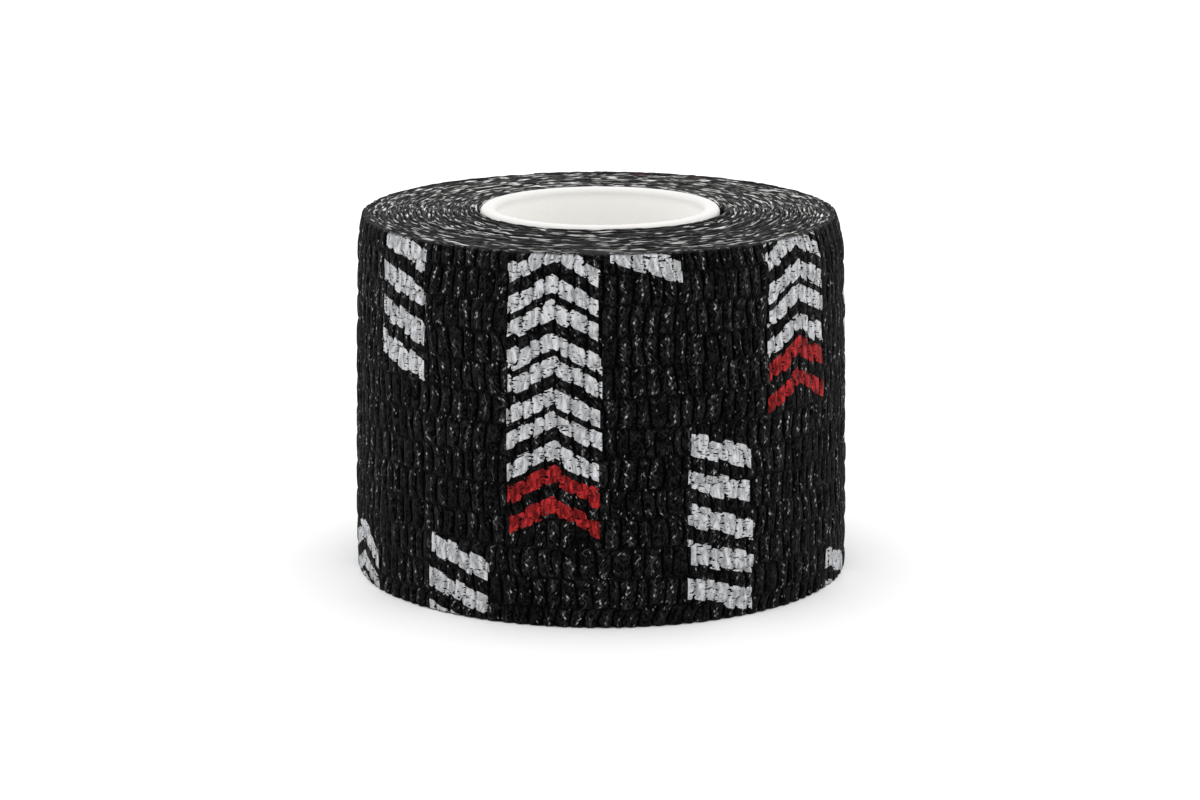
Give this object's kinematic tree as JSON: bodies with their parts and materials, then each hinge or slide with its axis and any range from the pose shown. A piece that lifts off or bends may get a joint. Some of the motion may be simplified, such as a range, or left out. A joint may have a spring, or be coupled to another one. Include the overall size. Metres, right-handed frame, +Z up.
{
  "type": "hand wrap",
  "caption": "Roll of black cohesive elastic crepe tape for wrapping hands, wound on a white plastic core and standing on end, with a free end that peels off.",
  "frame": {"origin": "on the core's axis at the lower end, where the roll stands", "axes": "+Z up along the core's axis; the free end of the tape is at the back, on the +Y side, and -Y is the front"},
  "size_m": [0.0681, 0.0684, 0.051],
  "materials": {
    "core_plastic": "satin moulded plastic",
    "tape_crepe": "crinkled black crepe with a printed pattern in white and red",
    "elastic_yarn": "matt elastic filament"
  },
  "bodies": {
    "roll": {"core": "core_plastic", "inner_turns": "tape_crepe", "outer_face_web": "tape_crepe", "outer_back_web": "tape_crepe", "elastic_yarn_01": "elastic_yarn", "elastic_yarn_02": "elastic_yarn", "elastic_yarn_03": "elastic_yarn", "elastic_yarn_04": "elastic_yarn", "elastic_yarn_05": "elastic_yarn", "elastic_yarn_06": "elastic_yarn", "elastic_yarn_07": "elastic_yarn", "elastic_yarn_08": "elastic_yarn", "elastic_yarn_09": "elastic_yarn", "elastic_yarn_10": "elastic_yarn", "elastic_yarn_11": "elastic_yarn", "elastic_yarn_12": "elastic_yarn"},
    "tail": {"tail_face_web": "tape_crepe", "tail_back_web": "tape_crepe", "tail_yarn_01": "elastic_yarn", "tail_yarn_02": "elastic_yarn", "tail_yarn_03": "elastic_yarn", "tail_yarn_04": "elastic_yarn", "tail_yarn_05": "elastic_yarn", "tail_yarn_06": "elastic_yarn", "tail_yarn_07": "elastic_yarn", "tail_yarn_08": "elastic_yarn", "tail_yarn_09": "elastic_yarn", "tail_yarn_10": "elastic_yarn", "tail_yarn_11": "elastic_yarn", "tail_yarn_12": "elastic_yarn"}
  },
  "joints": [
    {"name": "tail_peel", "type": "hinge", "parent": "roll", "child": "tail", "pos_m": [0.00873, 0.0332, 0.025], "axis": [0, 0, -1], "range_deg": [0, 90]}
  ]
}
